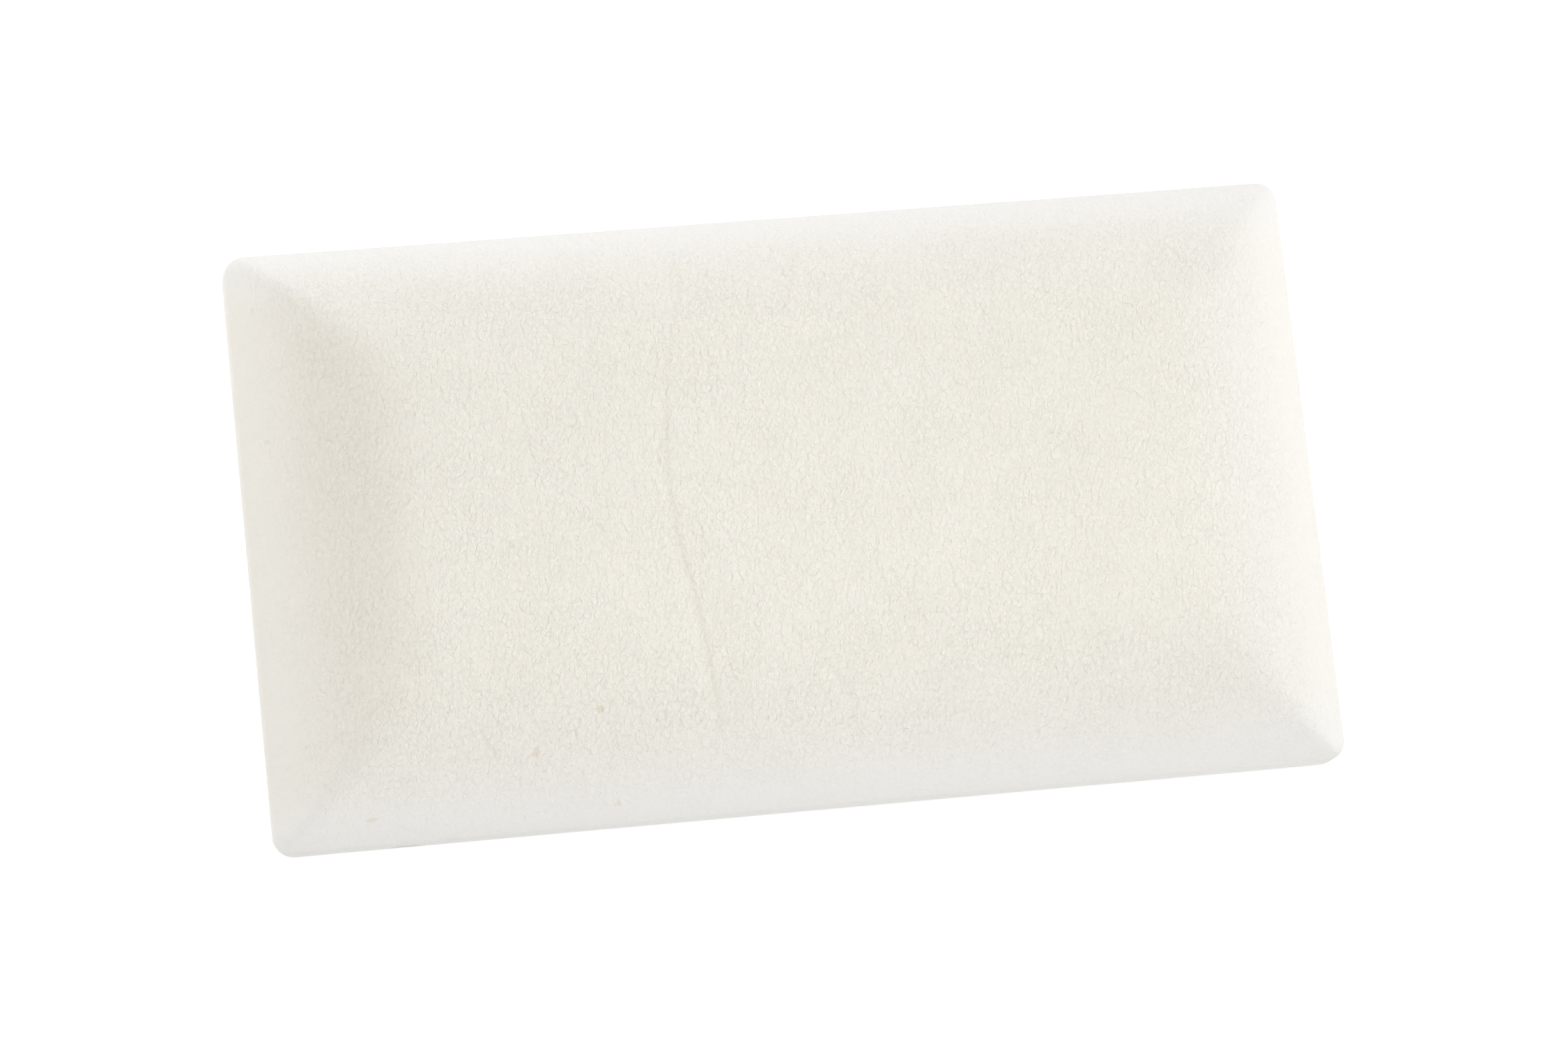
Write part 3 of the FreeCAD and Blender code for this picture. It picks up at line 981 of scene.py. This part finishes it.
def core_face(b, numbers, lx, ly, places, z):
    """The core's top or bottom: quads, and fans round the vents, whose mouths it gives."""
    mouths, skip = [], set()
    for x, y in places:
        i = int(np.argmin(np.abs(lx - (x - VENT_CELL))))
        j = int(np.argmin(np.abs(ly - (y - VENT_CELL))))
        skip.add((i, j))
        mouth = vent_ring(b, x, y, VENT_MOUTH_RADIUS, z)
        square = [numbers[i, j], numbers[i + 1, j], numbers[i + 1, j + 1], numbers[i, j + 1]]
        for side in range(4):
            arc = [mouth[(side * 4 + k) % VENT_SIDES] for k in range(5)]
            fan = [square[side], square[(side + 1) % 4], *arc[::-1]]
            b.faces.append([int(number) for number in fan])
        mouths.append(mouth)
    for i in range(len(lx) - 1):
        for j in range(len(ly) - 1):
            if (i, j) not in skip:
                quad = numbers[i, j], numbers[i + 1, j], numbers[i + 1, j + 1], numbers[i, j + 1]
                b.faces.append([int(number) for number in quad])
    return mouths


def support_core():
    """The core with its vents: each vent sits in one square cell of the grid."""
    low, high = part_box("support_core")
    vents_x = centred_places(high.x - low.x, VENT_PITCH_X, VENT_MARGIN)
    vents_y = centred_places(high.y - low.y, VENT_PITCH_Y, VENT_MARGIN)
    places = [(x, y) for x in vents_x for y in vents_y]
    lx, ly = core_lines(high.x, vents_x), core_lines(high.y, vents_y)
    gx, gy = np.meshgrid(lx, ly, indexing="ij")
    ri, rj = perimeter(*gx.shape).T
    edge, mouth_depth, roughness = 1.2 * MM, 0.5 * MM, 0.10 * MM
    b = Builder()
    mouths, rims = [], []
    for z in (high.z, low.z):
        numbers = b.add(gx * (1 - edge / high.x), gy * (1 - edge / high.y), z)
        mouths.append(core_face(b, numbers, lx, ly, places, z))
        rims.append(numbers[ri, rj])
    for (x, y), before, last in zip(places, *mouths):
        for z in (high.z - mouth_depth, (high.z + low.z) / 2, low.z + mouth_depth):
            ring = vent_ring(b, x, y, VENT_RADIUS, z)
            b.band(before, ring)
            before = ring
        b.band(before, last)
    before, last = rims
    eased = 0.35 * edge
    for inset, z in (
        (eased, high.z - eased), (0, high.z - edge), (0, low.z + edge), (eased, low.z + eased)
    ):
        ring = b.add(gx[ri, rj] * (1 - inset / high.x), gy[ri, rj] * (1 - inset / high.y), z)
        b.band(before, ring)
        before = ring
    b.band(before, last)
    made = b.bmesh()
    p = coordinates(made)
    p[:, 2] -= roughness * (1 + field(p, 0.02, 21)) * np.sign(p[:, 2] - (high.z + low.z) / 2)
    place_points(made, p)
    return made


def wall_film():
    """The glue ring between the shell and what fills its pocket."""
    low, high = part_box("wall_glue_film")
    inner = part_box("base_layer")[1]
    b = Builder()
    rings = []
    inner_radius = POCKET_CORNER_RADIUS - (high.x - inner.x)
    for half_x, half_y, radius, heights in (
        (high.x, high.y, POCKET_CORNER_RADIUS, np.linspace(low.z, high.z, 7)),
        (inner.x, inner.y, inner_radius, np.linspace(high.z, low.z, 7)),
    ):
        lx, ly = (grid_lines(half, CORNER_STEPS, FILM_PITCH) for half in (half_x, half_y))
        gx, gy = np.meshgrid(lx, ly, indexing="ij")
        px, py = round_corners(gx, gy, half_x, half_y, radius)
        ri, rj = perimeter(*gx.shape).T
        for z in heights:
            rings.append(b.add(px[ri, rj], py[ri, rj], z))
    for one, other in zip(rings, rings[1:] + rings[:1]):
        b.band(one, other)
    return b.bmesh()


# Cut foams: light and dark colour, cell size and cell depth in mm.
CUT_FOAMS = {
    "transition": (colour(238, 240, 238), colour(228, 231, 228), 1.4, 0.30),
    "core": (colour(243, 236, 210), colour(234, 225, 196), 1.8, 0.38),
    "rail": (colour(206, 211, 216), colour(192, 198, 204), 1.1, 0.22),
    "base": (colour(236, 230, 208), colour(226, 219, 194), 1.2, 0.24),
}
FILL_RADIUS = POCKET_CORNER_RADIUS - 0.4 * MM
STEP_RADIUS = 9.5 * MM  # the corners of what lies in the pocket's step


def inner_pieces():
    """Everything in the shell's pocket, from the transition layer down to the scrim."""
    foam = {
        kind: cut_foam_material(f"cut_{kind}_foam", light, dark, cell * MM, depth * MM)
        for kind, (light, dark, cell, depth) in CUT_FOAMS.items()
    }
    glue, scrim = glue_material(), scrim_material()

    transition = block(
        "transition_layer", STEP_RADIUS, 1.0 * MM, 12 * MM, 0.05 * MM, 31,
        channel_drop, channel_lines,
    )
    make_piece(
        "transition_layer_foam", transition, foam["transition"],
        "transition_layer", 40,
    )
    make_piece(
        "support_core_foam", support_core(), foam["core"], "support_core", 40
    )
    for number, side in enumerate(("front", "rear", "left", "right")):
        node = side + "_edge_rail"
        make_piece(
            node + "_foam", block(node, 0, 1.5 * MM, 9 * MM, 0.06 * MM, 41 + number),
            foam["rail"], node, 40,
        )
    make_piece(
        "base_layer_foam", block("base_layer", FILL_RADIUS, 1.0 * MM, 10 * MM, 0.05 * MM, 51),
        foam["base"], "base_layer", 40,
    )
    for number, (name, radius) in enumerate(
        (("comfort", STEP_RADIUS), ("core", FILL_RADIUS), ("base", FILL_RADIUS))
    ):
        node = name + "_glue_film"
        make_piece(
            node + "_web", block(node, radius, 0.12 * MM, 12 * MM, 0.03 * MM, 61 + number),
            glue, node,
        )
    make_piece("wall_glue_film_web", wall_film(), glue, "wall_glue_film")
    backing = make_piece(
        "base_scrim_cloth", block("base_scrim", FILL_RADIUS, 0.3 * MM, 10 * MM, 0.05 * MM, 71),
        scrim, "base_scrim",
    )


# ---------------------------------------------------------------- studio

CAMERA_AZIMUTH, CAMERA_ELEVATION, CAMERA_ROLL = 41.147, 76.860, 35.715  # degrees
CAMERA_DISTANCE = 4.3371
CAMERA_TARGET = (-0.0075, -0.0141, 0.06)
CAMERA_LENS, SENSOR_WIDTH = 120.0, 36.0

# Softboxes: turn from +X and elevation in degrees, distance, diameter, and strength.
SOFTBOXES = [
    (20, 22, 2.5, 1.2, 0.307),
    (300, 22, 1.5, 0.8, 0.093),
    (280, 80, 1.5, 0.9, 0.201),
    (100, 12, 1.5, 0.5, 0.213),
    (200, 60, 2.0, 1.0, 0.368),
    (0, 60, 2.0, 1.0, 0.245),
    (150, 8, 1.0, 0.4, 0.062),
    (185, 4, 1.3, 0.4, 0.049),
]
SKY_BAND = 1.0  # the white sweep round the horizon
SKY_ABOVE = 0.0
SKY_FADE = (15, 25)  # degrees up, from the one to the other


def add_camera(scene):
    az, el, roll = (math.radians(a) for a in (CAMERA_AZIMUTH, CAMERA_ELEVATION, CAMERA_ROLL))
    ahead = Vector((math.sin(az) * math.cos(el), math.cos(az) * math.cos(el), -math.sin(el)))
    right = ahead.cross(Vector((0, 0, 1))).normalized()
    up = right.cross(ahead)
    across = math.cos(roll) * right + math.sin(roll) * up
    upward = -math.sin(roll) * right + math.cos(roll) * up
    data = bpy.data.cameras.new("camera")
    data.lens, data.sensor_width = CAMERA_LENS, SENSOR_WIDTH
    data.clip_start, data.clip_end = 0.1, 100
    camera = bpy.data.objects.new("camera", data)
    scene.collection.objects.link(camera)
    turn = Matrix((across, upward, -ahead)).transposed().to_4x4()
    place = Matrix.Translation(Vector(CAMERA_TARGET) - ahead * CAMERA_DISTANCE)
    camera.matrix_world = place @ turn
    scene.camera = camera


def add_softboxes(scene):
    """Round lamps that face the middle of the foam's foot and stay out of the camera's view."""
    for number, (turn, rise, distance, diameter, strength) in enumerate(SOFTBOXES):
        a, e = math.radians(turn), math.radians(rise)
        towards = Vector((math.cos(e) * math.cos(a), math.cos(e) * math.sin(a), math.sin(e)))
        light = bpy.data.lights.new(f"softbox_{number}", "AREA")
        light.shape = "DISK"
        light.size = diameter
        light.energy = strength * math.pi**2 * distance**2
        lamp = bpy.data.objects.new(f"softbox_{number}", light)
        lamp.location = towards * distance
        lamp.rotation_mode = "QUATERNION"
        lamp.rotation_quaternion = towards.to_track_quat("Z", "Y")
        lamp.visible_camera = False
        scene.collection.objects.link(lamp)


def add_sky(scene):
    """A white band round the horizon that fades out above."""
    world = bpy.data.worlds.new("studio")
    scene.world = world
    world.use_nodes = True
    tree = world.node_tree
    background = tree.nodes["Background"]
    where = tree.nodes.new("ShaderNodeTexCoord")
    parts = tree.nodes.new("ShaderNodeSeparateXYZ")
    level = tree.nodes.new("ShaderNodeMapRange")
    level.interpolation_type = "SMOOTHSTEP"
    fade_from, fade_to = (math.sin(math.radians(a)) for a in SKY_FADE)
    for key, number in (
        ("From Min", fade_from), ("From Max", fade_to), ("To Min", SKY_BAND), ("To Max", SKY_ABOVE)
    ):
        level.inputs[key].default_value = number
    tree.links.new(where.outputs["Generated"], parts.inputs["Vector"])
    tree.links.new(parts.outputs["Z"], level.inputs["Value"])
    tree.links.new(level.outputs["Result"], background.inputs["Strength"])
    background.inputs["Color"].default_value = (1, 1, 1, 1)


def add_floor(scene):
    floor = bmesh.new()
    bmesh.ops.create_grid(floor, x_segments=8, y_segments=8, size=40)
    floor_data = bpy.data.meshes.new("floor")
    floor.to_mesh(floor_data)
    floor.free()
    floor_data.materials.append(floor_material())
    sweep = bpy.data.objects.new("floor", floor_data)
    sweep.location.z = -0.2 * MM  # just clear of the foam's foot
    scene.collection.objects.link(sweep)


def studio():
    scene = bpy.context.scene
    scene.view_settings.view_transform = "Standard"
    scene.view_settings.look = "None"
    add_camera(scene)
    add_softboxes(scene)
    add_sky(scene)
    add_floor(scene)


studio()
comfort_shell()
inner_pieces()
